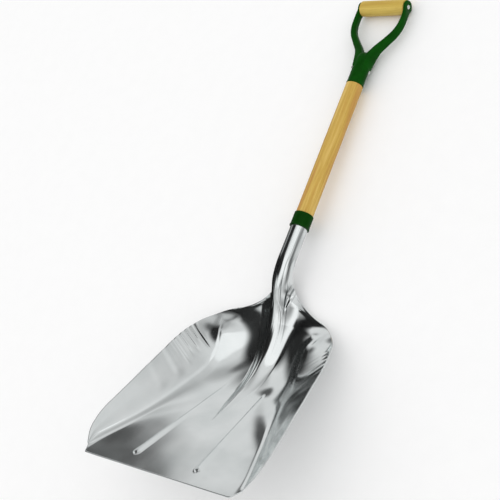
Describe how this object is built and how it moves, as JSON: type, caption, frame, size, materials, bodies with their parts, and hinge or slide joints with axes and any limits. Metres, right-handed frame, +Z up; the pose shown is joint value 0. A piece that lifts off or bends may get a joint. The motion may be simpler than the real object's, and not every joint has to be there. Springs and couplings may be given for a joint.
{
  "type": "grain scoop shovel",
  "caption": "Scoop shovel for grain and seed: a wide stamped aluminium scoop with a rolled socket, a straight ash shaft and a green steel yoke that carries a turning wooden D-grip.",
  "frame": {"origin": "centre of the bounding box on the ground, under the shovel as it lies on its heel and grip", "axes": "+Y along the shovel from the cutting edge towards the grip, +Z up from the ground, X across the scoop"},
  "size_m": [0.4082, 1.0546, 0.1913],
  "materials": {
    "scoop": "bright rolled sheet with fine drawing marks",
    "shaft_wood": "clear varnished ash, straight grain",
    "grip_wood": "clear varnished ash, turned",
    "collar_paint": "dark green enamel",
    "yoke_paint": "green gloss enamel",
    "rivet_steel": "bright zinc-plated"
  },
  "bodies": {
    "shovel": {"scoop_blade": "scoop", "shaft": "shaft_wood", "socket_collar": "collar_paint", "socket_rivet": "rivet_steel", "yoke": "yoke_paint", "yoke_rivet": "rivet_steel", "grip_pin": "rivet_steel"},
    "hand_grip": {"grip": "grip_wood"}
  },
  "joints": [
    {"name": "grip_turn", "type": "hinge", "parent": "shovel", "child": "hand_grip", "pos_m": [0, 0.51135, 0.016], "axis": [1, 0, 0], "continuous": true}
  ]
}
